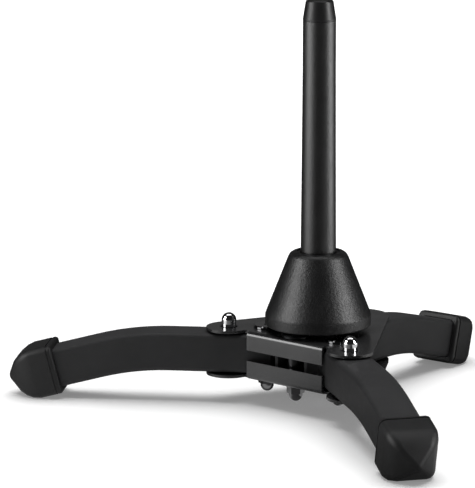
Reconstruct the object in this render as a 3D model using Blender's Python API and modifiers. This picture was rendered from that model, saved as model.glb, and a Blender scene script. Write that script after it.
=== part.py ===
"""Folding peg stand for a woodwind instrument: a cone and peg on a folding hub with three steel legs.

Metres, +Z up, resting on Z = 0 with the middle of its outline on the Z axis. The front of the stand faces -Y.
"""

import math

import bmesh
import bpy
from mathutils import Matrix, Vector

MM = 0.001

# Clearances
GAP = 0.3 * MM
THIN_GAP = 0.15 * MM

# Hub plates: pressed sheet, one flanged side between the two folding legs
PLATE = 1.3 * MM
PLATE_SPACE = 20.4 * MM
FLANGE_OUT = 25.0 * MM
FLANGE_LENGTH = 46.2 * MM
FLANGE_DEPTH = 8.9 * MM
BEND_RADIUS = 2.0 * MM
RELIEF = 2.5 * MM
LOBE_RADIUS = 10.9 * MM
REAR_LOBE_RADIUS = 15.0 * MM
REAR_LOBE_OUT = 37.9 * MM
REAR_LOBE_ANGLE = 57.6

# Plan of the hub, in degrees from +X
FLANGE_ANGLE = 228.8
PIVOT_SPREAD = 63.4
TOE_IN = 8.0
REAR_ANGLE = 51.6
PIVOT_OUT = 24.8 * MM
REAR_BOLT_OUT = 17.3 * MM

# Legs: square tube with one downward bend
LEG_SIDE = 18.6 * MM
LEG_WALL = 1.5 * MM
LEG_CORNER = 2.2 * MM
LEG_BEND_RADIUS = 132.0 * MM
LEG_DROP_ANGLE = 14.7
LEG_SLOPE = 37.5 * MM
LEG_STRAIGHT = 46.8 * MM
LEG_TAIL = 6.0 * MM
TAIL_CHAMFER = 3.5 * MM
REAR_STRAIGHT = 44.0 * MM
REAR_TAIL = 21.0 * MM

# Rubber foot caps
CAP_WALL = 2.6 * MM
CAP_LENGTH = 16.8 * MM
CAP_POINT = 9.8 * MM
CAP_END = 3.2 * MM
CAP_ROUND = 5.6 * MM
CAP_LIP = 2.0 * MM
CAP_GROOVE = 0.8 * MM
CAP_GROOVE_DEPTH = 0.5 * MM
FOOT_FLAT = 0.3 * MM

# Pivot and rear bolts, their sleeves, washers and acorn nuts
BOLT = 5.0 * MM
BOLT_HEAD = 13.0 * MM
BOLT_HEAD_HEIGHT = 1.3 * MM
BOLT_SOCKET = 3.0 * MM
SLEEVE = 8.0 * MM
THRUST_WASHER_RIM = 3.2 * MM
NUT_WASHER = 9.4 * MM
NUT_WASHER_HEIGHT = 0.7 * MM
NUT_FLATS = 7.4 * MM
NUT_HEX_HEIGHT = 3.0 * MM
NUT_DOME = 6.4 * MM
NUT_HEIGHT = 7.1 * MM

# Lock buttons
BUTTON = 7.1 * MM
BUTTON_RISE = 6.8 * MM
BUTTON_HOLE_CLEARANCE = 0.6 * MM
BUTTON_COLLAR = 9.4 * MM
BUTTON_FROM_PIVOT = 18.4 * MM
PLUNGER_FLANGE = 11.4 * MM
PLUNGER_FLANGE_HEIGHT = 1.2 * MM
PLUNGER_STUB = 5.2 * MM
PLUNGER_STUB_LENGTH = 3.9 * MM
SPRING_WIRE = 0.8 * MM
SPRING_OUTSIDE = 8.6 * MM
SPRING_TURN_COUNT = 5
HOUSING_LENGTH = 16.4 * MM
HOUSING_FLOOR = 1.2 * MM

# Centre bolt, its sleeve and the ring under the cone
CENTRE_BOLT = 8.0 * MM
CENTRE_HEAD = 15.0 * MM
CENTRE_HEAD_HEIGHT = 3.4 * MM
CENTRE_SOCKET = 5.0 * MM
CENTRE_SLEEVE = 12.0 * MM
THREAD_ENGAGED = 13.0 * MM
BASE_RING = 20.8 * MM
BASE_RING_HEIGHT = 2.6 * MM

# Cone
CONE_RADIUS = 25.1 * MM
CONE_BAND = 5.4 * MM
CONE_HEIGHT = 35.4 * MM
CONE_SHOULDER_RADIUS = 13.3 * MM
CONE_SHOULDER_ROUND = 3.6 * MM
CONE_CREASE_ROUND = 4.0 * MM
CONE_WALL = 2.8 * MM
CONE_BOSS_WALL = 4.4 * MM
CONE_SEAT_DEPTH = 8.4 * MM
CONE_LEDGE = 0.5 * MM
CONE_LEDGE_WIDTH = 1.5 * MM

# Peg and its tip
PEG_FOOT_RADIUS = 8.45 * MM
PEG_TOP_RADIUS = 7.75 * MM
PEG_LENGTH = 116.4 * MM
PEG_PARALLEL = 16.0 * MM
TIP_LENGTH = 9.8 * MM
TIP_RADIUS = 6.4 * MM
TIP_ROUND = 1.2 * MM
TIP_SPIGOT = 8.0 * MM
TIP_SPIGOT_LENGTH = 7.0 * MM
INSERT = 11.6 * MM
PEG_WASHER_HEIGHT = 1.0 * MM

# Facets
FINE_FACETS = 40
ROUND_FACETS = 28
SMALL_FACETS = 16

# Heights above the hub plates' top face, which is Z = 0 inside the stand's own empty
UNDERSIDE = -PLATE
BOTTOM_TOP = UNDERSIDE - PLATE_SPACE
BOTTOM = BOTTOM_TOP - PLATE
LEG_AXIS = UNDERSIDE - PLATE_SPACE / 2
LEG_TOP = LEG_AXIS + LEG_SIDE / 2
LEG_INSIDE_TOP = LEG_TOP - LEG_WALL
LEG_INSIDE_BOTTOM = LEG_AXIS - LEG_SIDE / 2 + LEG_WALL
CONE_BOTTOM = GAP + BASE_RING_HEIGHT + THIN_GAP
CONE_TOP = CONE_BOTTOM + CONE_HEIGHT
CONE_SEAT = CONE_TOP - CONE_SEAT_DEPTH
PEG_FOOT = CONE_SEAT + THIN_GAP + PEG_WASHER_HEIGHT + THIN_GAP
PEG_TOP = PEG_FOOT + PEG_LENGTH
WASHER_HEIGHT = (PLATE_SPACE - LEG_SIDE) / 2 - 2 * THIN_GAP


def polar(out, degrees):
    angle = math.radians(degrees)
    return Vector((out * math.cos(angle), out * math.sin(angle), 0))


LEGS = {
    "left": (polar(PIVOT_OUT, FLANGE_ANGLE - PIVOT_SPREAD), FLANGE_ANGLE - PIVOT_SPREAD + TOE_IN),
    "front": (polar(PIVOT_OUT, FLANGE_ANGLE + PIVOT_SPREAD), FLANGE_ANGLE + PIVOT_SPREAD - TOE_IN),
}
REAR_BOLT_PLACE = polar(-REAR_BOLT_OUT, REAR_ANGLE)


# Scene and materials


def clear_scene():
    for obj in list(bpy.data.objects):
        bpy.data.objects.remove(obj, do_unlink=True)
    for name in ("woodwind_stand", "cutters"):
        old = bpy.data.collections.get(name)
        if old:
            bpy.data.collections.remove(old)
        bpy.context.scene.collection.children.link(bpy.data.collections.new(name))
    bpy.data.collections["cutters"].hide_render = True


def material(name, colour, roughness, metallic):
    made = bpy.data.materials.get(name) or bpy.data.materials.new(name)
    made.use_nodes = True
    shader = made.node_tree.nodes["Principled BSDF"]
    shader.inputs["Base Color"].default_value = (*colour, 1)
    shader.inputs["Roughness"].default_value = roughness
    shader.inputs["Metallic"].default_value = metallic
    made.diffuse_color = (*colour, 1)
    return made


def black_paint(name):
    return material(name, (0.028, 0.028, 0.030), 0.42, 0.0)


def black_rubber(name):
    return material(name, (0.030, 0.030, 0.031), 0.62, 0.0)


def black_plastic(name):
    return material(name, (0.022, 0.022, 0.023), 0.36, 0.0)


def bright_steel(name):
    return material(name, (0.78, 0.78, 0.79), 0.09, 1.0)


def zinc_steel(name):
    return material(name, (0.52, 0.53, 0.55), 0.30, 1.0)


def natural_nylon(name):
    return material(name, (0.70, 0.69, 0.64), 0.45, 0.0)


def empty(name, parent, location=(0, 0, 0), turn=0.0):
    made = bpy.data.objects.new(name, None)
    made.empty_display_size = 0.01
    made.location = location
    made.rotation_euler = (0, 0, math.radians(turn))
    made.parent = parent
    bpy.data.collections["woodwind_stand"].objects.link(made)
    return made


def place(obj, look, parent, location=(0, 0, 0), rotation=(0, 0, 0)):
    """Names the piece's material, parents it and puts it in the stand's collection."""
    if obj.data.materials:
        obj.data.materials.clear()
    obj.data.materials.append(look(obj.name))
    obj.location = location
    obj.rotation_euler = rotation
    obj.parent = parent
    bpy.data.collections["woodwind_stand"].objects.link(obj)
    return obj


# Modelling helpers


def mesh_object(name, work):
    mesh = bpy.data.meshes.new(name)
    work.normal_update()
    work.to_mesh(mesh)
    work.free()
    return bpy.data.objects.new(name, mesh)


def flat_curve(name, points, depth):
    """A closed outline in XY, filled, and as thick as depth about Z = 0."""
    curve = bpy.data.curves.new(name, "CURVE")
    curve.dimensions = "2D"
    curve.fill_mode = "BOTH"
    curve.extrude = depth / 2
    spline = curve.splines.new("POLY")
    spline.points.add(len(points) - 1)
    for point, (x, y) in zip(spline.points, points):
        point.co = (x, y, 0, 1)
    spline.use_cyclic_u = True
    return bpy.data.objects.new(name, curve)


def curve_to_mesh(obj, name):
    """The evaluated curve as a mesh object of its own, with its caps welded; the curve is removed."""
    collection = bpy.data.collections["woodwind_stand"]
    collection.objects.link(obj)
    graph = bpy.context.evaluated_depsgraph_get()
    mesh = bpy.data.meshes.new_from_object(obj.evaluated_get(graph))
    work = bmesh.new()
    work.from_mesh(mesh)
    bmesh.ops.remove_doubles(work, verts=work.verts, dist=1e-6)
    work.to_mesh(mesh)
    work.free()
    made = bpy.data.objects.new(name, mesh)
    mesh.name = name
    made.matrix_world = obj.matrix_world
    bpy.data.objects.remove(obj, do_unlink=True)
    return made


def turned(name, profile, steps, ring=False):
    """A profile of (radius, height) points turned about Z; a ring's profile closes on itself."""
    mesh = bpy.data.meshes.new(name)
    count = len(profile)
    edges = [(i, (i + 1) % count) for i in range(count if ring else count - 1)]
    mesh.from_pydata([(radius, 0, height) for radius, height in profile], edges, [])
    made = bpy.data.objects.new(name, mesh)
    screw = made.modifiers.new("turn", "SCREW")
    screw.axis = "Z"
    screw.angle = math.tau
    screw.steps = steps
    screw.render_steps = steps
    screw.use_merge_vertices = True
    screw.merge_threshold = 1e-6
    screw.use_smooth_shade = True
    return made


def arc(radius, start, end, steps):
    """Points of an arc about the origin, with both ends; angles in degrees."""
    angles = [math.radians(start + (end - start) * i / steps) for i in range(steps + 1)]
    return [(radius * math.cos(a), radius * math.sin(a)) for a in angles]


def round_corner(corner, before, after, radius, steps=3):
    """Points of a fillet at a corner between the points before and after it."""
    corner, before, after = Vector(corner), Vector(before), Vector(after)
    one = (before - corner).normalized()
    two = (after - corner).normalized()
    half = one.angle(two) / 2
    reach = min(radius / math.tan(half), (before - corner).length, (after - corner).length)
    radius = reach * math.tan(half)
    centre = corner + (one + two).normalized() * (radius / math.sin(half))
    start = corner + one * reach - centre
    turn = start.angle_signed(corner + two * reach - centre)
    points = [centre + Matrix.Rotation(-turn * i / steps, 2) @ start for i in range(steps + 1)]
    return [tuple(point) for point in points]


def rounded(points, radii, closed=True):
    """A polygon with each corner filleted by its own radius; 0 leaves a corner sharp."""
    made = []
    count = len(points)
    for i, (point, radius) in enumerate(zip(points, radii)):
        if radius and (closed or 0 < i < count - 1):
            made += round_corner(point, points[i - 1], points[(i + 1) % count], radius)
        else:
            made.append(tuple(point))
    return made


def cylinder(name, radius, low, high, centre=(0, 0), sides=ROUND_FACETS, turn=0.0):
    work = bmesh.new()
    place_at = Matrix.Translation((*centre, (low + high) / 2)) @ Matrix.Rotation(math.radians(turn), 4, "Z")
    bmesh.ops.create_cone(work, cap_ends=True, segments=sides, radius1=radius, radius2=radius, depth=high - low,
                          matrix=place_at)
    return mesh_object(name, work)


def box(name, size, centre):
    work = bmesh.new()
    bmesh.ops.create_cube(work, size=1, matrix=Matrix.Translation(centre) @ Matrix.Diagonal((*size, 1)))
    return mesh_object(name, work)


def cut(obj, tool, operation="DIFFERENCE"):
    """Cuts or joins with a tool kept in the cutters collection, placed in the object's own frame."""
    tool.name = f"cut_{obj.name}_{len(obj.modifiers)}"
    tool.parent = obj
    tool.hide_render = True
    tool.display_type = "WIRE"
    bpy.data.collections["cutters"].objects.link(tool)
    boolean = obj.modifiers.new("cut", "BOOLEAN")
    boolean.operation = operation
    boolean.object = tool
    boolean.solver = "EXACT"
    return obj


def hole(obj, radius, low, high, centre=(0, 0), sides=ROUND_FACETS, turn=0.0):
    return cut(obj, cylinder("hole", radius, low, high, centre, sides, turn))


# Hub plates


def lobe_places():
    return {side: pivot + polar(BUTTON_FROM_PIVOT, turn) for side, (pivot, turn) in LEGS.items()}


def tangent(first, second, first_radius, second_radius):
    """Outward direction, in degrees, of the line that touches two circles on the right of first to second."""
    way = second - first
    lean = math.acos((first_radius - second_radius) / way.length)
    return math.degrees(math.atan2(way.y, way.x) - lean)


def lobe_arc(centre, radius, start, end, steps):
    return [(centre.x + x, centre.y + y) for x, y in arc(radius, start, start + (end - start) % 360, steps)]


def notch_angle(centre, sign):
    """Direction from a lobe's centre to where its edge meets the floor of the flange's relief notch."""
    outward = polar(1, FLANGE_ANGLE)
    rise = FLANGE_OUT - RELIEF - centre.dot(outward)
    return FLANGE_ANGLE + sign * math.degrees(math.acos(rise / LOBE_RADIUS))


def plate_outline():
    """The plate's edge, anticlockwise from the flange's left end; the flange is the first side."""
    lobes = lobe_places()
    rear = polar(REAR_LOBE_OUT, REAR_LOBE_ANGLE)
    outward = polar(1, FLANGE_ANGLE)
    along = polar(1, FLANGE_ANGLE + 90)
    flat = FLANGE_OUT - BEND_RADIUS
    floor = FLANGE_OUT - RELIEF
    ends = [outward * flat - along * FLANGE_LENGTH / 2, outward * flat + along * FLANGE_LENGTH / 2]
    to_rear = tangent(lobes["front"], rear, LOBE_RADIUS, REAR_LOBE_RADIUS)
    to_left = tangent(rear, lobes["left"], REAR_LOBE_RADIUS, LOBE_RADIUS)
    points = [(ends[0].x, ends[0].y), (ends[1].x, ends[1].y)]
    if floor < flat:
        inner = outward * floor + along * FLANGE_LENGTH / 2
        points.append((inner.x, inner.y))
    points += lobe_arc(lobes["front"], LOBE_RADIUS, notch_angle(lobes["front"], -1), to_rear, 18)
    points += lobe_arc(rear, REAR_LOBE_RADIUS, to_rear, to_left, 14)
    points += lobe_arc(lobes["left"], LOBE_RADIUS, to_left, notch_angle(lobes["left"], 1), 18)
    if floor < flat:
        inner = outward * floor - along * FLANGE_LENGTH / 2
        points.append((inner.x, inner.y))
    return points


def hub_plate(name, facing):
    """A pressed plate whose outer face is at Z = 0, with its flange turned back; facing is 1 up or -1 down."""
    flat = curve_to_mesh(flat_curve("outline", plate_outline(), 0), name)
    work = bmesh.new()
    work.from_mesh(flat.data)
    bpy.data.objects.remove(flat, do_unlink=True)
    bmesh.ops.dissolve_limit(work, angle_limit=0.01, verts=work.verts, edges=work.edges)
    outward = polar(1, FLANGE_ANGLE)
    along = polar(1, FLANGE_ANGLE + 90)
    for face in work.faces:
        if face.normal.z < 0:
            face.normal_flip()
    line = FLANGE_OUT - BEND_RADIUS
    edges = [e for e in work.edges if all(abs(v.co.dot(outward) - line) < 1e-6 for v in e.verts)]
    axis = outward * line - Vector((0, 0, BEND_RADIUS))
    steps = 5
    for step in range(steps + 1):
        made = bmesh.ops.extrude_edge_only(work, edges=edges)["geom"]
        verts = [item for item in made if isinstance(item, bmesh.types.BMVert)]
        edges = [item for item in made if isinstance(item, bmesh.types.BMEdge)]
        if step < steps:
            turn = Matrix.Rotation(math.radians(-90 / steps), 3, -along)
            bmesh.ops.rotate(work, verts=verts, cent=axis, matrix=turn)
        else:
            bmesh.ops.translate(work, verts=verts, vec=(0, 0, BEND_RADIUS - FLANGE_DEPTH))
    bmesh.ops.recalc_face_normals(work, faces=work.faces)
    top = max(work.faces, key=lambda face: face.calc_area())
    if top.normal.z < 0:
        bmesh.ops.reverse_faces(work, faces=work.faces)
    if facing < 0:
        bmesh.ops.scale(work, vec=(1, 1, -1), verts=work.verts)
        bmesh.ops.reverse_faces(work, faces=work.faces)
    made = mesh_object(name, work)
    shell = made.modifiers.new("sheet", "SOLIDIFY")
    shell.thickness = PLATE
    shell.offset = -1
    shell.use_even_offset = True
    return made


def pierce(plate, button_holes):
    low, high = -4 * PLATE, 4 * PLATE
    for pivot, turn in LEGS.values():
        hole(plate, BOLT / 2 + GAP, low, high, pivot.xy, SMALL_FACETS)
    if button_holes:
        for place_at in lobe_places().values():
            hole(plate, BUTTON / 2 + BUTTON_HOLE_CLEARANCE, low, high, place_at.xy, ROUND_FACETS)
    hole(plate, BOLT / 2 + GAP, low, high, REAR_BOLT_PLACE.xy, SMALL_FACETS)
    hole(plate, CENTRE_BOLT / 2 + GAP, low, high, (0, 0), SMALL_FACETS)
    return plate


def build_plates(stand):
    place(pierce(hub_plate("top_plate", 1), True), black_paint, stand)
    place(pierce(hub_plate("bottom_plate", -1), False), black_paint, stand, (0, 0, BOTTOM))


# Legs


def bend_end(straight):
    """Where the bend ends, as distance out and drop of the tube's axis."""
    angle = math.radians(LEG_DROP_ANGLE)
    return straight + LEG_BEND_RADIUS * math.sin(angle), LEG_BEND_RADIUS * (1 - math.cos(angle))


def leg_path(tail, straight):
    """The tube's axis from its inner end to just short of the cap's end wall."""
    points = [(-tail, 0)]
    steps = 7
    for i in range(steps + 1):
        angle = math.radians(LEG_DROP_ANGLE) * i / steps
        points.append((straight + LEG_BEND_RADIUS * math.sin(angle), -LEG_BEND_RADIUS * (1 - math.cos(angle))))
    out, drop = bend_end(straight)
    slope = math.radians(LEG_DROP_ANGLE)
    run = LEG_SLOPE - CAP_END - GAP
    points.append((out + run * math.cos(slope), -drop - run * math.sin(slope)))
    return points


def section(side, corner):
    """Rounded square about the origin."""
    half = side / 2
    return rounded([(half, half), (-half, half), (-half, -half), (half, -half)], [corner] * 4)


def leg_tube(name, tail, straight):
    """A square tube swept along its bent axis, then given its wall."""
    ring = flat_curve("section", section(LEG_SIDE, LEG_CORNER), 0)
    bpy.data.collections["cutters"].objects.link(ring)
    path = bpy.data.curves.new("axis", "CURVE")
    path.dimensions = "3D"
    path.twist_mode = "Z_UP"
    path.bevel_mode = "OBJECT"
    path.bevel_object = ring
    path.use_fill_caps = False
    spline = path.splines.new("POLY")
    points = leg_path(tail, straight)
    spline.points.add(len(points) - 1)
    for point, (x, z) in zip(spline.points, points):
        point.co = (x, 0, LEG_AXIS + z, 1)
    tube = curve_to_mesh(bpy.data.objects.new("sweep", path), name)
    bpy.data.objects.remove(ring, do_unlink=True)
    work = bmesh.new()
    work.from_mesh(tube.data)
    middle = sum((v.co for v in work.verts), Vector()) / len(work.verts)
    if sum((f.calc_center_median() - middle).dot(f.normal) * f.calc_area() for f in work.faces) < 0:
        bmesh.ops.reverse_faces(work, faces=work.faces)
    work.to_mesh(tube.data)
    work.free()
    wall = tube.modifiers.new("wall", "SOLIDIFY")
    wall.thickness = LEG_WALL
    wall.offset = -1
    wall.use_even_offset = True
    return tube


def trim_tail(tube, tail):
    """Cuts the inner end's upright corners off, so that it clears its neighbours as it swings."""
    for side in (1, -1):
        size = TAIL_CHAMFER * math.sqrt(2)
        tool = box("corner", (size, size, 2 * LEG_SIDE), (0, 0, 0))
        tool.location = (-tail, side * LEG_SIDE / 2, LEG_AXIS)
        tool.rotation_euler = (0, 0, math.radians(45))
        cut(tube, tool)


def along_x(side, corner, length):
    """A rounded square bar on the X axis, reaching as far each way from the origin as half its length."""
    bar = curve_to_mesh(flat_curve("bar", section(side, corner), length), "bar")
    bar.rotation_euler = (math.radians(90), 0, math.radians(90))
    return bar


def groove_ring(side):
    """Square ring, hollow where the cap keeps its rubber, that cuts the groove behind the cap's lip."""
    ring = box("ring", (CAP_GROOVE, 2 * side, 2 * side), (0, 0, 0))
    ring.location.x = CAP_LIP + CAP_GROOVE / 2
    return cut(ring, along_x(side - 2 * CAP_GROOVE_DEPTH, CAP_ROUND / 2, 4 * CAP_GROOVE))


def foot_cap(name):
    """Rubber cap in its own frame: mouth at X = 0, square body along +X, then a blunt four-sided point."""
    side = LEG_SIDE + 2 * (CAP_WALL + GAP)
    work = bmesh.new()
    middle = Matrix.Translation((CAP_LENGTH / 2, 0, 0)) @ Matrix.Diagonal((CAP_LENGTH, side, side, 1))
    bmesh.ops.create_cube(work, size=1, matrix=middle)
    end = max(work.faces, key=lambda face: face.calc_center_median().x)
    for vert in bmesh.ops.poke(work, faces=[end])["verts"]:
        vert.co.x += CAP_POINT
    weight = work.edges.layers.float.new("bevel_weight_edge")
    for edge in work.edges:
        xs = sorted(v.co.x for v in edge.verts)
        if xs[1] < 1e-6:
            edge[weight] = 0.25
        elif xs[1] > CAP_LENGTH + 1e-6:
            edge[weight] = 0.3
        else:
            edge[weight] = 0.6 if xs[0] < 1e-6 else 1.0
    made = mesh_object(name, work)
    soft = made.modifiers.new("round", "BEVEL")
    soft.width = CAP_ROUND
    soft.segments = 3
    soft.limit_method = "WEIGHT"
    soft.use_clamp_overlap = True
    depth = CAP_LENGTH - CAP_END
    cut(made, groove_ring(side))
    return cut(made, along_x(LEG_SIDE + 2 * GAP, LEG_CORNER, 2 * depth))


def flatten_foot(cap, slope):
    """Trims a cap where it meets the floor, so that it rests on a small flat."""
    graph = bpy.context.evaluated_depsgraph_get()
    shown = cap.evaluated_get(graph)
    down = Vector((math.sin(slope), 0, -math.cos(slope)))
    low = max((vert.co for vert in shown.to_mesh().vertices), key=lambda point: point.dot(down)).copy()
    shown.to_mesh_clear()
    size = 2 * LEG_SIDE
    tool = box("floor", (size, 2 * size, size), (0, 0, 0))
    tool.rotation_euler = (0, -slope, 0)
    tool.location = Vector((low.x, 0, low.z)) + down * (size / 2 - FOOT_FLAT)
    cut(cap, tool)


def place_cap(side, straight, carrier):
    out, drop = bend_end(straight)
    slope = math.radians(LEG_DROP_ANGLE)
    run = LEG_SLOPE - CAP_LENGTH
    at = (out + run * math.cos(slope), 0, LEG_AXIS - drop - run * math.sin(slope))
    cap = place(foot_cap(f"foot_cap_{side}"), black_rubber, carrier, at, (0, slope, 0))
    bpy.context.view_layer.update()
    flatten_foot(cap, slope)


def folding_leg(side, carrier):
    tube = leg_tube(f"leg_{side}", LEG_TAIL, LEG_STRAIGHT)
    trim_tail(tube, LEG_TAIL)
    hole(tube, SLEEVE / 2 + GAP, BOTTOM, 0, (0, 0), SMALL_FACETS)
    hole(tube, BUTTON_COLLAR / 2 + GAP, LEG_AXIS, 0, (BUTTON_FROM_PIVOT, 0), ROUND_FACETS)
    place(tube, black_paint, carrier)
    place_cap(side, LEG_STRAIGHT, carrier)


def rear_leg(carrier):
    tube = leg_tube("leg_rear", REAR_TAIL, REAR_STRAIGHT)
    hole(tube, SLEEVE / 2 + GAP, BOTTOM, 0, (-REAR_BOLT_OUT, 0), SMALL_FACETS)
    hole(tube, CENTRE_SLEEVE / 2 + GAP, BOTTOM, 0, (0, 0), SMALL_FACETS)
    place(tube, black_paint, carrier)
    place_cap("rear", REAR_STRAIGHT, carrier)


# Bolts, sleeves, washers and nuts


def sleeve(name, outside, bore, look, carrier, location=(0, 0, 0)):
    low, high = BOTTOM_TOP + THIN_GAP, UNDERSIDE - THIN_GAP
    profile = [(outside / 2, high), (outside / 2, low), (bore / 2, low), (bore / 2, high)]
    place(turned(name, profile, SMALL_FACETS, ring=True), look, carrier, location)


def flat_bolt(name, carrier, location):
    """A low wide head with a hex socket on a plain shank that ends inside the acorn nut."""
    head_low = THIN_GAP
    head_high = head_low + BOLT_HEAD_HEIGHT
    chamfer = BOLT_HEAD_HEIGHT / 3
    end = BOTTOM - NUT_WASHER_HEIGHT - NUT_HEIGHT * 0.68
    profile = [
        (0, head_high),
        (BOLT_HEAD / 2 - chamfer, head_high),
        (BOLT_HEAD / 2, head_high - chamfer),
        (BOLT_HEAD / 2, head_low),
        (BOLT / 2, head_low),
        (BOLT / 2, end + BOLT / 10),
        (BOLT / 2 - BOLT / 10, end),
        (0, end),
    ]
    bolt = turned(name, profile, SMALL_FACETS)
    hole(bolt, BOLT_SOCKET / math.sqrt(3), head_high - 2 * BOLT_HEAD_HEIGHT, 1, (0, 0), 6)
    place(bolt, bright_steel, carrier, location)


def acorn_nut(name, carrier, location):
    """Hexagon with a domed cap below it and a blind bore from above."""
    top = BOTTOM - 2 * THIN_GAP - NUT_WASHER_HEIGHT
    radius = NUT_DOME / 2
    low = top - NUT_HEIGHT
    dome = [(0, top - GAP), (radius, top - GAP)] + [(x, low + radius + y) for x, y in arc(radius, 0, -90, 5)]
    nut = turned(name, dome, SMALL_FACETS)
    hexagon = cylinder("hexagon", NUT_FLATS / math.sqrt(3), top - NUT_HEX_HEIGHT, top, (0, 0), 6, 30)
    cut(nut, hexagon, "UNION")
    hole(nut, BOLT / 2 + THIN_GAP, top - NUT_HEIGHT * 0.75, 0, (0, 0), SMALL_FACETS)
    place(nut, bright_steel, carrier, location)


def washer(name, outside, bore, low, height, look, carrier, location):
    high = low + height
    profile = [(outside / 2, high), (outside / 2, low), (bore / 2, low), (bore / 2, high)]
    place(turned(name, profile, SMALL_FACETS, ring=True), look, carrier, location)


def leg_washers(side, sleeve_size, carrier, location):
    """Thin washers above and below a leg, around the sleeve that passes through it."""
    low = BOTTOM_TOP + THIN_GAP
    high = UNDERSIDE - THIN_GAP - WASHER_HEIGHT
    bore = sleeve_size + 2 * GAP
    outside = bore + 2 * THRUST_WASHER_RIM
    washer(f"upper_washer_{side}", outside, bore, high, WASHER_HEIGHT, natural_nylon, carrier, location)
    washer(f"lower_washer_{side}", outside, bore, low, WASHER_HEIGHT, natural_nylon, carrier, location)


def build_fasteners(stand):
    sleeve_bore = BOLT + 2 * GAP
    places = {side: pivot for side, (pivot, turn) in LEGS.items()}
    places["rear"] = REAR_BOLT_PLACE
    under = BOTTOM - THIN_GAP - NUT_WASHER_HEIGHT
    for side, at in places.items():
        flat_bolt("rear_bolt" if side == "rear" else f"pivot_bolt_{side}", stand, at)
        acorn_nut(f"acorn_nut_{side}", stand, at)
        washer(f"nut_washer_{side}", NUT_WASHER, sleeve_bore, under, NUT_WASHER_HEIGHT, bright_steel, stand, at)
        sleeve(f"bolt_sleeve_{side}", SLEEVE, sleeve_bore, zinc_steel, stand, at)
        if side == "rear":
            leg_washers(side, CENTRE_SLEEVE, stand, (0, 0, 0))
        else:
            leg_washers(side, SLEEVE, stand, at)


def build_centre(stand):
    sleeve("centre_sleeve", CENTRE_SLEEVE, CENTRE_BOLT + 2 * GAP, zinc_steel, stand)
    high = BOTTOM - THIN_GAP
    low = high - CENTRE_HEAD_HEIGHT
    end = PEG_FOOT + THREAD_ENGAGED
    chamfer = CENTRE_BOLT / 10
    profile = rounded(
        [
            (0, end),
            (CENTRE_BOLT / 2 - chamfer, end),
            (CENTRE_BOLT / 2, end - chamfer),
            (CENTRE_BOLT / 2, high),
            (CENTRE_HEAD / 2, high),
            (CENTRE_HEAD / 2, low),
            (0, low),
        ],
        [0, 0, 0, 0, 0, CENTRE_HEAD_HEIGHT / 2, 0],
        closed=False,
    )
    bolt = turned("centre_bolt", profile, SMALL_FACETS)
    hole(bolt, CENTRE_SOCKET / math.sqrt(3), low - 1 * MM, low + CENTRE_HEAD_HEIGHT, (0, 0), 6)
    place(bolt, zinc_steel, stand)
    bore = CENTRE_BOLT / 2 + GAP
    ring_top = GAP + BASE_RING_HEIGHT
    ring = [(BASE_RING / 2, ring_top), (BASE_RING / 2, GAP), (bore, GAP), (bore, ring_top)]
    place(turned("cone_base_ring", ring, ROUND_FACETS, ring=True), black_rubber, stand)


# Lock buttons


def lock_button(side, carrier):
    """Domed button on the hub, above the plunger that the leg carries."""
    radius = BUTTON / 2
    collar_top = UNDERSIDE - THIN_GAP
    collar = BUTTON_COLLAR / 2
    dome = [(x, BUTTON_RISE - radius + y) for x, y in arc(radius, 90, 0, 6)]
    profile = dome + [(radius, collar_top), (collar, collar_top), (collar, collar_top - WASHER_HEIGHT),
                      (0, collar_top - WASHER_HEIGHT)]
    profile[0] = (0, BUTTON_RISE)
    at = (BUTTON_FROM_PIVOT, 0, 0)
    place(turned(f"lock_button_{side}", profile, ROUND_FACETS), bright_steel, carrier, at)


def plunger_levels():
    """Top of the plunger, top and underside of its flange, and the end of its stub."""
    flange_top = LEG_INSIDE_TOP - GAP
    flange_low = flange_top - PLUNGER_FLANGE_HEIGHT
    return LEG_TOP, flange_top, flange_low, flange_low - PLUNGER_STUB_LENGTH


def lock_plunger(side, carrier):
    top, flange_top, flange_low, end = plunger_levels()
    head = BUTTON_COLLAR / 2
    profile = [(0, top), (head, top), (head, flange_top), (PLUNGER_FLANGE / 2, flange_top),
               (PLUNGER_FLANGE / 2, flange_low), (PLUNGER_STUB / 2, flange_low), (PLUNGER_STUB / 2, end), (0, end)]
    place(turned(f"lock_plunger_{side}", profile, SMALL_FACETS), zinc_steel, carrier, (BUTTON_FROM_PIVOT, 0, 0))


def button_housing(side, carrier):
    """Nylon block inside the tube with a blind bore for the plunger and its spring."""
    width = LEG_SIDE - 2 * (LEG_WALL + GAP)
    top, low = LEG_INSIDE_TOP - GAP, LEG_INSIDE_BOTTOM + GAP
    outline = flat_curve("outline", section(width, LEG_CORNER - LEG_WALL), HOUSING_LENGTH)
    block = curve_to_mesh(outline, f"button_housing_{side}")
    block.data.transform(Matrix.Translation((0, 0, LEG_AXIS)) @ Matrix.Rotation(math.radians(90), 4, "Y"))
    hole(block, PLUNGER_FLANGE / 2 + GAP, low + HOUSING_FLOOR, 0, (0, 0), ROUND_FACETS)
    place(block, natural_nylon, carrier, (BUTTON_FROM_PIVOT, 0, 0))


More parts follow.
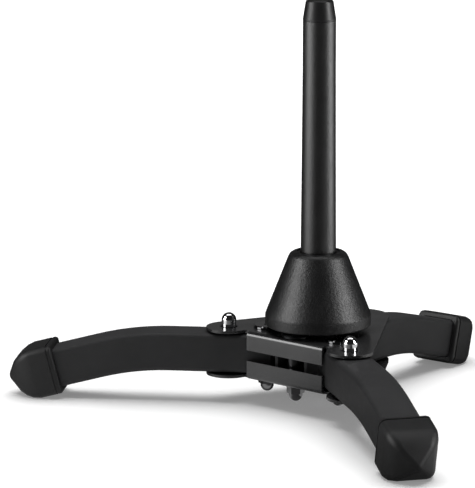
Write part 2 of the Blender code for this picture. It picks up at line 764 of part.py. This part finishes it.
def button_spring(side, carrier):
    flange_low = plunger_levels()[2]
    floor = LEG_INSIDE_BOTTOM + GAP + HOUSING_FLOOR
    wire = SPRING_WIRE / 2
    high, low = flange_low - THIN_GAP - wire, floor + THIN_GAP + wire
    radius = SPRING_OUTSIDE / 2 - wire
    curve = bpy.data.curves.new(f"button_spring_{side}", "CURVE")
    curve.dimensions = "3D"
    curve.bevel_depth = wire
    curve.bevel_resolution = 1
    curve.use_fill_caps = True
    spline = curve.splines.new("POLY")
    per_turn = 10
    count = SPRING_TURN_COUNT * per_turn
    spline.points.add(count)
    for i, point in enumerate(spline.points):
        angle = math.tau * i / per_turn
        lift = min(max((i / count - 0.10) / 0.80, 0), 1)
        flat = min(i, count - i) / (0.10 * count)
        rise = low + (high - low) * lift + (wire * 0.4 * (1 - min(flat, 1))) * (1 if i < count / 2 else -1)
        point.co = (radius * math.cos(angle), radius * math.sin(angle), rise, 1)
    made = bpy.data.objects.new(f"button_spring_{side}", curve)
    place(made, zinc_steel, carrier, (BUTTON_FROM_PIVOT, 0, 0))


# Cone and peg


def build_cone(stand):
    """Moulded cone: turned shell with a centre boss, and a seat for the peg's foot in its top."""
    bore = CENTRE_BOLT / 2 + GAP
    seat = PEG_FOOT_RADIUS + GAP
    boss = bore + CONE_BOSS_WALL
    band_top = CONE_BOTTOM + CONE_BAND
    taper = math.atan2(CONE_RADIUS - CONE_SHOULDER_RADIUS, CONE_TOP - band_top)
    roof = CONE_SEAT - CONE_WALL
    skirt = CONE_RADIUS - CONE_WALL
    lean = math.tan(taper)
    inner_top = skirt - (roof - band_top) * lean
    ledge = seat + CONE_LEDGE_WIDTH
    profile = rounded(
        [
            (ledge, CONE_TOP),
            (CONE_SHOULDER_RADIUS, CONE_TOP),
            (CONE_RADIUS, band_top),
            (CONE_RADIUS, CONE_BOTTOM),
            (skirt, CONE_BOTTOM),
            (skirt, band_top),
            (inner_top, roof),
            (boss, roof),
            (boss, CONE_BOTTOM),
            (bore, CONE_BOTTOM),
            (bore, CONE_SEAT),
            (seat, CONE_SEAT),
            (seat, CONE_TOP - CONE_LEDGE),
            (ledge, CONE_TOP - CONE_LEDGE),
        ],
        [0, CONE_SHOULDER_ROUND, CONE_CREASE_ROUND, CONE_WALL / 4] + [0] * 10,
    )
    place(turned("cone", profile, FINE_FACETS, ring=True), black_plastic, stand)


def peg_radius(height):
    """Radius of the peg's side at a height above its foot: a taper that runs out into a parallel length."""
    run = PEG_LENGTH - PEG_PARALLEL
    share = min(height / run, 1)
    return PEG_FOOT_RADIUS + (PEG_TOP_RADIUS - PEG_FOOT_RADIUS) * (1.25 * share - 0.25 * share * share)


def build_peg(turner):
    socket = TIP_SPIGOT / 2 + GAP
    insert_top = THREAD_ENGAGED + 3 * MM
    steps = 5
    side = [(peg_radius(PEG_LENGTH * i / steps), PEG_FOOT + PEG_LENGTH * i / steps) for i in range(steps, -1, -1)]
    floor = PEG_TOP - TIP_SPIGOT_LENGTH - GAP
    insert = INSERT / 2 + GAP
    roof = PEG_FOOT + insert_top + GAP
    profile = [(0, floor), (socket, floor), (socket, PEG_TOP)] + side + [(insert, PEG_FOOT), (insert, roof), (0, roof)]
    place(turned("peg", profile, FINE_FACETS), black_plastic, turner)
    bore = CENTRE_BOLT / 2 + GAP
    top = PEG_FOOT + insert_top
    sleeve_profile = [(INSERT / 2, top), (INSERT / 2, PEG_FOOT + GAP), (bore, PEG_FOOT + GAP), (bore, top)]
    place(turned("peg_insert", sleeve_profile, SMALL_FACETS, ring=True), zinc_steel, turner)


def build_tip(turner):
    low = PEG_TOP + THIN_GAP
    high = PEG_TOP + TIP_LENGTH
    outline = rounded(
        [
            (0, high),
            (TIP_RADIUS, high),
            (PEG_TOP_RADIUS, low + 1.0 * MM),
            (PEG_TOP_RADIUS, low),
            (TIP_SPIGOT / 2, low),
            (TIP_SPIGOT / 2, low - TIP_SPIGOT_LENGTH),
            (0, low - TIP_SPIGOT_LENGTH),
        ],
        [0, TIP_ROUND, 1.5 * MM, 0, 0, 0, 0],
        closed=False,
    )
    place(turned("peg_tip", outline, FINE_FACETS), black_plastic, turner)


def build_peg_washer(stand):
    low = CONE_SEAT + THIN_GAP
    high = low + PEG_WASHER_HEIGHT
    bore = CENTRE_BOLT / 2 + GAP
    profile = [(PEG_FOOT_RADIUS, high), (PEG_FOOT_RADIUS, low), (bore, low), (bore, high)]
    place(turned("peg_washer", profile, ROUND_FACETS, ring=True), natural_nylon, stand)


# Assembly


def smooth_round_pieces():
    for obj in bpy.data.collections["woodwind_stand"].objects:
        if obj.type == "MESH":
            obj.data.shade_smooth()
            obj.data.set_sharp_from_angle(angle=math.radians(32))


def settle(stand):
    """Moves the whole stand until its outline is centred on the Z axis and its feet are at Z = 0."""
    bpy.context.view_layer.update()
    graph = bpy.context.evaluated_depsgraph_get()
    corners = []
    for obj in bpy.data.collections["woodwind_stand"].objects:
        if obj.type in {"MESH", "CURVE"}:
            shown = obj.evaluated_get(graph)
            corners += [shown.matrix_world @ vert.co for vert in shown.to_mesh().vertices]
            shown.to_mesh_clear()
    for axis in (0, 1):
        stand.location[axis] -= (min(c[axis] for c in corners) + max(c[axis] for c in corners)) / 2
    stand.location.z -= min(c.z for c in corners)


def build():
    clear_scene()
    stand = empty("stand", None)
    build_plates(stand)
    for side, (pivot, turn) in LEGS.items():
        fold = empty(f"fold_axis_{side}", stand, pivot, turn)
        folding_leg(side, fold)
        button_housing(side, fold)
        button_spring(side, fold)
        lock_plunger(side, fold)
        lock_button(side, fold)
    rear_leg(empty("rear_leg_line", stand, (0, 0, 0), REAR_ANGLE))
    build_fasteners(stand)
    build_centre(stand)
    build_cone(stand)
    build_peg_washer(stand)
    peg_axis = empty("peg_axis", stand)
    build_peg(peg_axis)
    build_tip(peg_axis)
    smooth_round_pieces()
    settle(stand)
    bpy.context.view_layer.update()


build()
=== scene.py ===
import math

import bpy
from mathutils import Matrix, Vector


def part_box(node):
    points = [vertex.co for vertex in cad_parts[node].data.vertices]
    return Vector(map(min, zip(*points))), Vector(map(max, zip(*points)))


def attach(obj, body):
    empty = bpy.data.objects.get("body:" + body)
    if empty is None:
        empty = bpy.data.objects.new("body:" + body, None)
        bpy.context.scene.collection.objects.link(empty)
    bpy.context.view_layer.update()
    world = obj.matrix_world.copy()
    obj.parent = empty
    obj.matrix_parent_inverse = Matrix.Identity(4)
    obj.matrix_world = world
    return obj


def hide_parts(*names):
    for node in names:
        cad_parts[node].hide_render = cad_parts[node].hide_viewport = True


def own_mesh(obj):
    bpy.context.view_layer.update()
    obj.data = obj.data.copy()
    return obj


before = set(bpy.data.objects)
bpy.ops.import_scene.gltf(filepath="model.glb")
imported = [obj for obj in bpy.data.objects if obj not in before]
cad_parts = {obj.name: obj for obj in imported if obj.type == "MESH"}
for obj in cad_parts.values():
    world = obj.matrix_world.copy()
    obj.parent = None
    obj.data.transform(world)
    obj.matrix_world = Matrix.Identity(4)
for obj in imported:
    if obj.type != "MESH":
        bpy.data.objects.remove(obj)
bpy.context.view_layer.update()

# Where the hub is in the frame: the cone's axis, at the top face of the top plate
cone_low, cone_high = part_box("cone")
PLATE_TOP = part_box("top_plate")[1][2]
HUB = Vector(((cone_low[0] + cone_high[0]) / 2, (cone_low[1] + cone_high[1]) / 2, PLATE_TOP))

# The photograph's camera: pixels, then metres from the hub, and degrees downwards
PHOTO_WIDTH = 475
OPTICAL_CENTRE = 244.0
FOCAL_LENGTH = 3000
SENSOR_WIDTH = 36
CAMERA_FROM_HUB = Vector((-0.0351, -1.3870, 0.3257))
CAMERA_PITCH = 11.57

# The sun stands for an even white ceiling: it gives the soft shadows and has no reflection
SUN_FROM_HUB = Vector((0.03, 0.30, 1.30))
SUN_WIDTH = 62
SUN_POWER = 3.00
ROOM_LIGHT = 0.15
ROOM_IN_REFLECTIONS = 0.012

# Cards that show in reflections only: name, metres from the hub, width, height, watts
CARDS = (
    ("left", (-1.10, -0.30, 0.46), 0.66, 0.86, 12.0),
    ("right", (1.10, -0.34, 0.46), 0.44, 0.86, 12.0),
    ("above", (0.0, 0.08, 1.20), 1.30, 0.42, 4.6),
    ("behind", (0.0, 1.50, 0.36), 1.80, 0.40, 0.25),
)
CARDS_AIM_ABOVE_HUB = 0.03

# What a reflection sees of the floor, near the hub and far from it, in metres:
# (degrees right of the camera's side of the hub, brightness)
NEAR_END = 0.18
NEAR_GLOW = (
    (-180, 0.02), (-105, 0.05), (-88, 0.75), (-70, 0.75), (-45, 0.15),
    (18, 0.08), (32, 0.80), (60, 0.70), (110, 0.45), (140, 0.02),
)
FAR_START = 0.55
FAR_GLOW = (
    (-180, 0.02), (-112, 0.02), (-92, 1.5), (-76, 2.8), (-60, 2.6), (-46, 1.7), (-36, 0.09),
    (0, 0.05), (70, 0.08), (80, 3.4), (90, 6.0), (102, 2.6), (116, 0.02),
)

FLOOR_HALF = 6.0
FLOOR_WHITE = 0.86

WELD_DISTANCE = 4e-6
ROUNDED_BELOW = 40


# Node helpers


def fresh(name):
    mat = bpy.data.materials.new(name)
    mat.use_nodes = True
    tree = mat.node_tree
    tree.nodes.clear()
    out = tree.nodes.new("ShaderNodeOutputMaterial")
    shader = tree.nodes.new("ShaderNodeBsdfPrincipled")
    tree.links.new(shader.outputs["BSDF"], out.inputs["Surface"])
    return mat, tree, shader


def coordinates(tree, stretch=(1, 1, 1)):
    coords = tree.nodes.new("ShaderNodeTexCoord")
    mapping = tree.nodes.new("ShaderNodeMapping")
    mapping.inputs["Scale"].default_value = stretch
    tree.links.new(coords.outputs["Object"], mapping.inputs["Vector"])
    return mapping.outputs["Vector"]


def noise(tree, where, scale, detail, rough=0.55):
    """Noise with about scale patches to the metre."""
    node = tree.nodes.new("ShaderNodeTexNoise")
    node.inputs["Scale"].default_value = scale
    node.inputs["Detail"].default_value = detail
    node.inputs["Roughness"].default_value = rough
    tree.links.new(where, node.inputs["Vector"])
    return node.outputs["Fac"]


def ramp(tree, value, stops):
    node = tree.nodes.new("ShaderNodeValToRGB")
    band = node.color_ramp
    while len(band.elements) < len(stops):
        band.elements.new(0.5)
    for element, (place, colour) in zip(band.elements, stops):
        element.position = place
        element.color = (*colour, 1)
    tree.links.new(value, node.inputs["Fac"])
    return node.outputs["Color"]


def spread(tree, value, low, high, start=0.3, end=0.7):
    """Runs from low to high as the value runs from start to end."""
    node = tree.nodes.new("ShaderNodeMapRange")
    node.inputs["From Min"].default_value = start
    node.inputs["From Max"].default_value = end
    node.inputs["To Min"].default_value = low
    node.inputs["To Max"].default_value = high
    tree.links.new(value, node.inputs["Value"])
    return node.outputs["Result"]


def math_node(tree, kind, one, two):
    node = tree.nodes.new("ShaderNodeMath")
    node.operation = kind
    for socket, value in zip(node.inputs, (one, two)):
        if isinstance(value, (int, float)):
            socket.default_value = value
        else:
            tree.links.new(value, socket)
    return node.outputs["Value"]


def mix(tree, amount, one, two):
    """Blends two colours; each is a tuple or another node's output."""
    node = tree.nodes.new("ShaderNodeMix")
    node.data_type = "RGBA"
    tree.links.new(amount, node.inputs["Factor"])
    for socket, value in ((node.inputs["A"], one), (node.inputs["B"], two)):
        if isinstance(value, tuple):
            socket.default_value = (*value, 1)
        else:
            tree.links.new(value, socket)
    return node.outputs["Result"]


def bump(tree, height, distance, strength, normal=None):
    node = tree.nodes.new("ShaderNodeBump")
    node.inputs["Distance"].default_value = distance
    node.inputs["Strength"].default_value = strength
    tree.links.new(height, node.inputs["Height"])
    if normal is not None:
        tree.links.new(normal, node.inputs["Normal"])
    return node.outputs["Normal"]


def scaled(colour, factor):
    return tuple(c * factor for c in colour)


def clouded(tree, value, colour, dark, light, end=0.7):
    """The colour, times dark where the noise is low and times light where it is high."""
    return ramp(tree, value, [(0.3, scaled(colour, dark)), (end, scaled(colour, light))])


def edge_wear_and_highlight(tree, where, radius, patch):
    """0 on flat faces, rising to 1 on edges and corners, broken up by noise: where the coating is
    abraded, and where a painted highlight runs along the edges.
    """
    geometry = tree.nodes.new("ShaderNodeNewGeometry")
    soft = tree.nodes.new("ShaderNodeBevel")
    soft.samples = 4
    soft.inputs["Radius"].default_value = radius
    facing = tree.nodes.new("ShaderNodeVectorMath")
    facing.operation = "DOT_PRODUCT"
    tree.links.new(geometry.outputs["Normal"], facing.inputs[0])
    tree.links.new(soft.outputs["Normal"], facing.inputs[1])
    worn_and_highlit = spread(tree, facing.outputs["Value"], 1, 0, start=0.86, end=0.995)
    patches = noise(tree, where, scale=patch, detail=4, rough=0.6)
    patchy = spread(tree, patches, 0.1, 1, start=0.42, end=0.62)
    return math_node(tree, "MULTIPLY", worn_and_highlit, patchy)


def rubbed_and_highlit(tree, base, edges, amount, bare_and_highlight):
    """Lets the paler colour through on the edges: abraded coating, and a painted highlight along
    them.
    """
    return mix(tree, math_node(tree, "MULTIPLY", edges, amount), base, bare_and_highlight)


def plug(tree, shader, base, roughness, normal):
    tree.links.new(base, shader.inputs["Base Color"])
    tree.links.new(roughness, shader.inputs["Roughness"])
    tree.links.new(normal, shader.inputs["Normal"])


# Materials


def black_coat(name, colour, rough, wear_and_highlight, shine):
    """Black coating on steel: shallow orange peel, faint dust, and edges a little paler, abraded
    and with a painted highlight along them.
    """
    mat, tree, shader = fresh(name)
    where = coordinates(tree)
    dust = noise(tree, where, scale=2600, detail=2, rough=0.7)
    dusty = spread(tree, dust, 0, 0.22, start=0.64, end=0.80)
    cloud = noise(tree, where, scale=38, detail=3)
    base = clouded(tree, cloud, colour, dark=0.90, light=1.12)
    base = mix(tree, dusty, base, scaled(colour, 2.2))
    # Paler edges: abraded coating and a painted highlight
    edges = edge_wear_and_highlight(tree, where, radius=0.0006, patch=300)
    base = rubbed_and_highlit(tree, base, edges, amount=wear_and_highlight, bare_and_highlight=(0.10, 0.10, 0.105))
    smudges = noise(tree, where, scale=95, detail=4)
    peel = noise(tree, where, scale=620, detail=2, rough=0.5)
    normal = bump(tree, peel, distance=5e-6, strength=0.5)
    normal = bump(tree, dust, distance=4e-6, strength=0.5, normal=normal)
    shader.inputs["Specular IOR Level"].default_value = shine
    plug(tree, shader, base, spread(tree, smudges, rough - 0.03, rough + 0.05), normal)
    return mat


def rubber(name, colour, rough):
    """Moulded rubber: matt, with a fine grain, faint scuffs and paler edges."""
    mat, tree, shader = fresh(name)
    where = coordinates(tree)
    cloud = noise(tree, where, scale=60, detail=4, rough=0.6)
    base = clouded(tree, cloud, colour, dark=0.88, light=1.15, end=0.72)
    scuffs = noise(tree, coordinates(tree, (1, 1, 5)), scale=210, detail=5, rough=0.7)
    scuffed = spread(tree, scuffs, 0, 0.16, start=0.60, end=0.76)
    base = mix(tree, scuffed, base, scaled(colour, 2.2))
    # Paler edges: abraded rubber and a painted highlight
    edges = edge_wear_and_highlight(tree, where, radius=0.0009, patch=240)
    base = rubbed_and_highlit(tree, base, edges, amount=0.16, bare_and_highlight=(0.075, 0.075, 0.078))
    skin = noise(tree, where, scale=520, detail=3)
    grain = noise(tree, where, scale=3200, detail=3, rough=0.65)
    normal = bump(tree, skin, distance=2e-5, strength=0.5)
    normal = bump(tree, grain, distance=1e-5, strength=0.7, normal=normal)
    shader.inputs["Specular IOR Level"].default_value = 0.35
    plug(tree, shader, base, spread(tree, cloud, rough - 0.05, rough + 0.06), normal)
    return mat


def plastic(name, colour, rough, grain, depth=2e-5, speck=0.6, shine=0.5, lathe=0.0):
    """Moulded black plastic with a fine eroded grain, and turning marks where lathe is above 0."""
    mat, tree, shader = fresh(name)
    where = coordinates(tree)
    fine = noise(tree, where, scale=grain, detail=3, rough=0.7)
    specked = spread(tree, fine, 0, speck, start=0.60, end=0.80)
    cloud = noise(tree, where, scale=45, detail=3)
    base = clouded(tree, cloud, colour, dark=0.9, light=1.12)
    base = mix(tree, specked, base, scaled(colour, 2.4))
    # Paler edges: abraded plastic and a painted highlight
    edges = edge_wear_and_highlight(tree, where, radius=0.0006, patch=350)
    base = rubbed_and_highlit(tree, base, edges, amount=0.12, bare_and_highlight=(0.07, 0.07, 0.072))
    smudges = noise(tree, where, scale=150, detail=4)
    normal = bump(tree, fine, distance=depth, strength=0.8)
    if lathe:
        rings = noise(tree, coordinates(tree, (6, 6, 900)), scale=3.0, detail=3, rough=0.6)
        normal = bump(tree, rings, distance=lathe, strength=0.5, normal=normal)
    shader.inputs["Specular IOR Level"].default_value = shine
    plug(tree, shader, base, spread(tree, smudges, rough - 0.03, rough + 0.045), normal)
    return mat


def bright_metal(name, colour, rough, hairline=3e-6):
    """Plated metal with hairline marks, and a little haze where it is handled."""
    mat, tree, shader = fresh(name)
    haze = noise(tree, coordinates(tree), scale=330, detail=4, rough=0.6)
    lines = noise(tree, coordinates(tree, (1, 1, 14)), scale=900, detail=3, rough=0.6)
    shader.inputs["Metallic"].default_value = 1.0
    base = clouded(tree, haze, colour, dark=0.93, light=1)
    hazy = spread(tree, haze, rough, rough + 0.06, start=0.35, end=0.75)
    plug(tree, shader, base, hazy, bump(tree, lines, distance=hairline, strength=0.5))
    return mat


def nylon(name, shaded, lit):
    """Milky moulded nylon that lets a little light in."""
    mat, tree, shader = fresh(name)
    where = coordinates(tree)
    base = ramp(tree, noise(tree, where, scale=120, detail=3), [(0.3, shaded), (0.7, lit)])
    smudges = noise(tree, where, scale=300, detail=3)
    skin = noise(tree, where, scale=1500, detail=3)
    shader.inputs["Subsurface Weight"].default_value = 0.1
    shader.inputs["Subsurface Radius"].default_value = (0.002, 0.002, 0.0015)
    normal = bump(tree, skin, distance=2e-5, strength=0.5)
    plug(tree, shader, base, spread(tree, smudges, 0.38, 0.52), normal)
    return mat


# The plate's edges get the stronger paler line: abrasion and a painted highlight along the lobes'
# rims
leg_coat = black_coat("leg_coat", (0.0310, 0.0310, 0.0319), rough=0.50, wear_and_highlight=0.08, shine=0.12)
plate_coat = black_coat("plate_coat", (0.0200, 0.0200, 0.0207), rough=0.22, wear_and_highlight=0.40, shine=0.80)
cap_rubber = rubber("cap_rubber", (0.0100, 0.0100, 0.0104), rough=0.50)
ring_rubber = rubber("ring_rubber", (0.010, 0.010, 0.010), rough=0.7)
cone_plastic = plastic("cone_plastic", (0.0070, 0.0070, 0.0074), rough=0.40,
                       grain=820, depth=0.00022, speck=0.9)
peg_plastic = plastic("peg_plastic", (0.0085, 0.0085, 0.0088), rough=0.36,
                      grain=900, depth=0.00013, speck=1.0, shine=0.7, lathe=6e-6)
tip_plastic = plastic("tip_plastic", (0.0100, 0.0100, 0.0104), rough=0.38,
                      grain=2600, depth=1e-5, speck=0.4, shine=0.4, lathe=3e-6)
washer_black = plastic("washer_black", (0.012, 0.012, 0.012), rough=0.5, grain=2200)
nylon_white = nylon("nylon_white", shaded=(0.55, 0.54, 0.49), lit=(0.72, 0.71, 0.66))
chrome = bright_metal("chrome", (0.86, 0.86, 0.87), rough=0.03)
# Chrome darkened: a painted dark reflection, for the black cone that the pivot bolt heads mirror
bolt_chrome_painted_reflection = bright_metal("bolt_chrome_painted_reflection", (0.20, 0.20, 0.203), rough=0.05)
# Chrome darkened: painted shade for the shadowed floor that the nuts under the hub reflect
nut_chrome_painted_shade = bright_metal("nut_chrome_painted_shade", (0.19, 0.19, 0.193), rough=0.06)
# Near-black steel for the rear bolt: painted shade for the shadow under the cone where its head
# lies
black_steel_painted_shade = bright_metal("black_steel_painted_shade", (0.03, 0.03, 0.031), rough=0.35)
# Steel darkened well below its own colour: painted shade inside the slot between the plates, where
# the sleeves stand
sleeve_steel_painted_shade = bright_metal("sleeve_steel_painted_shade", (0.06, 0.06, 0.062), rough=0.22, hairline=6e-6)
zinc = bright_metal("zinc", (0.52, 0.53, 0.55), rough=0.26, hairline=6e-6)

# A node takes the first look whose word its name starts with
LOOKS = (
    ("leg_", leg_coat),
    ("top_plate", plate_coat),
    ("bottom_plate", plate_coat),
    ("foot_cap", cap_rubber),
    ("cone_base_ring", ring_rubber),
    ("cone", cone_plastic),
    ("peg_insert", zinc),
    ("peg_washer", nylon_white),
    ("peg_tip", tip_plastic),
    ("peg", peg_plastic),
    ("button_housing", nylon_white),
    ("upper_washer", washer_black),
    ("lower_washer", washer_black),
    ("lock_button", chrome),
    ("pivot_bolt", bolt_chrome_painted_reflection),
    ("rear_bolt", black_steel_painted_shade),
    ("acorn_nut", nut_chrome_painted_shade),
    ("nut_washer", nut_chrome_painted_shade),
    ("bolt_sleeve", sleeve_steel_painted_shade),
    ("centre_sleeve", sleeve_steel_painted_shade),
    ("", zinc),
)


# Pieces


def cad_object(node):
    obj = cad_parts[node]
    return obj if isinstance(obj, bpy.types.Object) else bpy.data.objects[obj]


def paint(obj, mat):
    if not obj.material_slots:
        obj.data.materials.append(mat)
    for slot in obj.material_slots:
        slot.material = mat


def smoothing_group():
    """Welds a mesh's facets and rounds the shading over every edge flatter than the limit."""
    group = bpy.data.node_groups.new("round_shading", "GeometryNodeTree")
    for way in ("INPUT", "OUTPUT"):
        group.interface.new_socket("Geometry", in_out=way, socket_type="NodeSocketGeometry")
    start = group.nodes.new("NodeGroupInput")
    weld = group.nodes.new("GeometryNodeMergeByDistance")
    weld.inputs["Distance"].default_value = WELD_DISTANCE
    angle = group.nodes.new("GeometryNodeInputMeshEdgeAngle")
    steep = group.nodes.new("FunctionNodeCompare")
    steep.data_type = "FLOAT"
    steep.operation = "GREATER_THAN"
    steep.inputs["B"].default_value = math.radians(ROUNDED_BELOW)
    normals = group.nodes.new("GeometryNodeSetMeshNormal")
    normals.mode = "SHARPNESS"
    normals.inputs["Remove Custom"].default_value = True
    normals.inputs["Face Sharpness"].default_value = False
    end = group.nodes.new("NodeGroupOutput")
    link = group.links.new
    link(start.outputs[0], weld.inputs["Geometry"])
    link(weld.outputs["Geometry"], normals.inputs["Mesh"])
    link(angle.outputs["Unsigned Angle"], steep.inputs["A"])
    link(steep.outputs["Result"], normals.inputs["Edge Sharpness"])
    link(normals.outputs["Mesh"], end.inputs[0])
    return group


def shade_round(obj):
    obj.modifiers.new("round_shading", "NODES").node_group = ROUND_SHADING
    flat = obj.modifiers.new("flat_faces", "WEIGHTED_NORMAL")
    flat.mode = "FACE_AREA_WITH_ANGLE"
    flat.weight = 50
    flat.keep_sharp = True


def soft_spring(side):
    """A copy of the CAD spring, with a mesh of its own, that replaces it and is carried with the
    leg.
    """
    node = "button_spring_" + side
    obj = bpy.data.objects.new("soft_spring_" + side, cad_object(node).data.copy())
    bpy.context.scene.collection.objects.link(obj)
    shade_round(obj)
    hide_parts(node)
    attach(obj, side + "_leg")
    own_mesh(obj)


ROUND_SHADING = smoothing_group()

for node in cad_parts:
    paint(cad_object(node), next(look for start, look in LOOKS if node.startswith(start)))
    shade_round(cad_object(node))

for side in ("left", "front"):
    soft_spring(side)


# Floor, light and camera


def hub_polar(tree):
    """A floor point's distance from the hub, and its bearing: 0 to 1 from behind by the left."""
    place = tree.nodes.new("ShaderNodeTexCoord")
    offset = tree.nodes.new("ShaderNodeVectorMath")
    offset.operation = "SUBTRACT"
    offset.inputs[1].default_value = (HUB.x, HUB.y, 0)
    tree.links.new(place.outputs["Object"], offset.inputs[0])
    distance = tree.nodes.new("ShaderNodeVectorMath")
    distance.operation = "LENGTH"
    tree.links.new(offset.outputs["Vector"], distance.inputs[0])
    axes = tree.nodes.new("ShaderNodeSeparateXYZ")
    tree.links.new(offset.outputs["Vector"], axes.inputs["Vector"])
    forward = math_node(tree, "MULTIPLY", axes.outputs["Y"], -1.0)
    bearing = math_node(tree, "ARCTAN2", axes.outputs["X"], forward)
    return distance.outputs["Value"], spread(tree, bearing, 0, 1, -math.pi, math.pi)


def glow(tree, bearing, table):
    return ramp(tree, bearing, [(0.5 + angle / 360, (level,) * 3) for angle, level in table])


def floor_material():
    """White, with a painted glow of its own that grows brighter away from the hub; a reflection
    sees the dim glow in its place.
    """
    mat, tree, shader = fresh("floor_white")
    shader.inputs["Base Color"].default_value = (FLOOR_WHITE, FLOOR_WHITE, FLOOR_WHITE, 1)
    shader.inputs["Roughness"].default_value = 0.9
    shader.inputs["Specular IOR Level"].default_value = 0.1
    shader.inputs["Emission Color"].default_value = (1, 1, 1, 1)
    distance, bearing = hub_polar(tree)
    # Painted light: the floor glows, weaker near the hub so that the shadows there stay, and
    # lightens them a little
    lift = spread(tree, distance, 0.20, 0.60, start=0.12, end=0.40)
    tree.links.new(lift, shader.inputs["Emission Strength"])
    dim = tree.nodes.new("ShaderNodeEmission")
    outward = spread(tree, distance, 0, 1, NEAR_END, FAR_START)
    seen = mix(tree, outward, glow(tree, bearing, NEAR_GLOW), glow(tree, bearing, FAR_GLOW))
    tree.links.new(seen, dim.inputs["Strength"])
    path = tree.nodes.new("ShaderNodeLightPath")
    either = tree.nodes.new("ShaderNodeMixShader")
    out = next(node for node in tree.nodes if node.type == "OUTPUT_MATERIAL")
    tree.links.new(path.outputs["Is Glossy Ray"], either.inputs["Fac"])
    tree.links.new(shader.outputs["BSDF"], either.inputs[1])
    tree.links.new(dim.outputs["Emission"], either.inputs[2])
    tree.links.new(either.outputs["Shader"], out.inputs["Surface"])
    return mat


def floor():
    mesh = bpy.data.meshes.new("floor")
    corners = [(x * FLOOR_HALF, y * FLOOR_HALF, 0) for x, y in ((-1, -1), (1, -1), (1, 1), (-1, 1))]
    mesh.from_pydata(corners, [], [(0, 1, 2, 3)])
    mesh.materials.append(floor_material())
    obj = bpy.data.objects.new("floor", mesh)
    bpy.context.scene.collection.objects.link(obj)


def lamp(name, kind, at, aim, power):
    data = bpy.data.lights.new(name, kind)
    data.energy = power
    obj = bpy.data.objects.new(name, data)
    obj.location = at
    obj.rotation_euler = (aim - at).to_track_quat("-Z", "Y").to_euler()
    bpy.context.scene.collection.objects.link(obj)
    return obj


def studio():
    """White light from above, cards round the hub for its reflections, and else a dim room."""
    world = bpy.data.worlds.new("studio")
    world.use_nodes = True
    tree = world.node_tree
    path = tree.nodes.new("ShaderNodeLightPath")
    level = spread(tree, path.outputs["Is Glossy Ray"], ROOM_LIGHT, ROOM_IN_REFLECTIONS, 0, 1)
    tree.links.new(level, tree.nodes["Background"].inputs["Strength"])
    tree.nodes["Background"].inputs["Color"].default_value = (1, 1, 1, 1)
    bpy.context.scene.world = world
    sky = lamp("sky", "SUN", HUB + SUN_FROM_HUB, HUB, SUN_POWER)
    sky.data.angle = math.radians(SUN_WIDTH)
    sky.visible_glossy = False
    aim = HUB + Vector((0, 0, CARDS_AIM_ABOVE_HUB))
    for name, place, width, height, power in CARDS:
        card = lamp(name, "AREA", HUB + Vector(place), aim, power)
        card.visible_diffuse = False
        card.data.shape = "RECTANGLE"
        card.data.size = width
        card.data.size_y = height


def camera():
    data = bpy.data.cameras.new("photo")
    data.sensor_fit = "HORIZONTAL"
    data.sensor_width = SENSOR_WIDTH
    data.lens = FOCAL_LENGTH * SENSOR_WIDTH / PHOTO_WIDTH
    data.shift_x = (PHOTO_WIDTH / 2 - OPTICAL_CENTRE) / PHOTO_WIDTH
    data.clip_start = 0.01
    obj = bpy.data.objects.new("photo", data)
    obj.location = HUB + CAMERA_FROM_HUB
    obj.rotation_euler = (math.radians(90 - CAMERA_PITCH), 0, 0)
    bpy.context.scene.collection.objects.link(obj)
    bpy.context.scene.camera = obj


floor()
studio()
camera()
bpy.context.scene.view_settings.view_transform = "Standard"
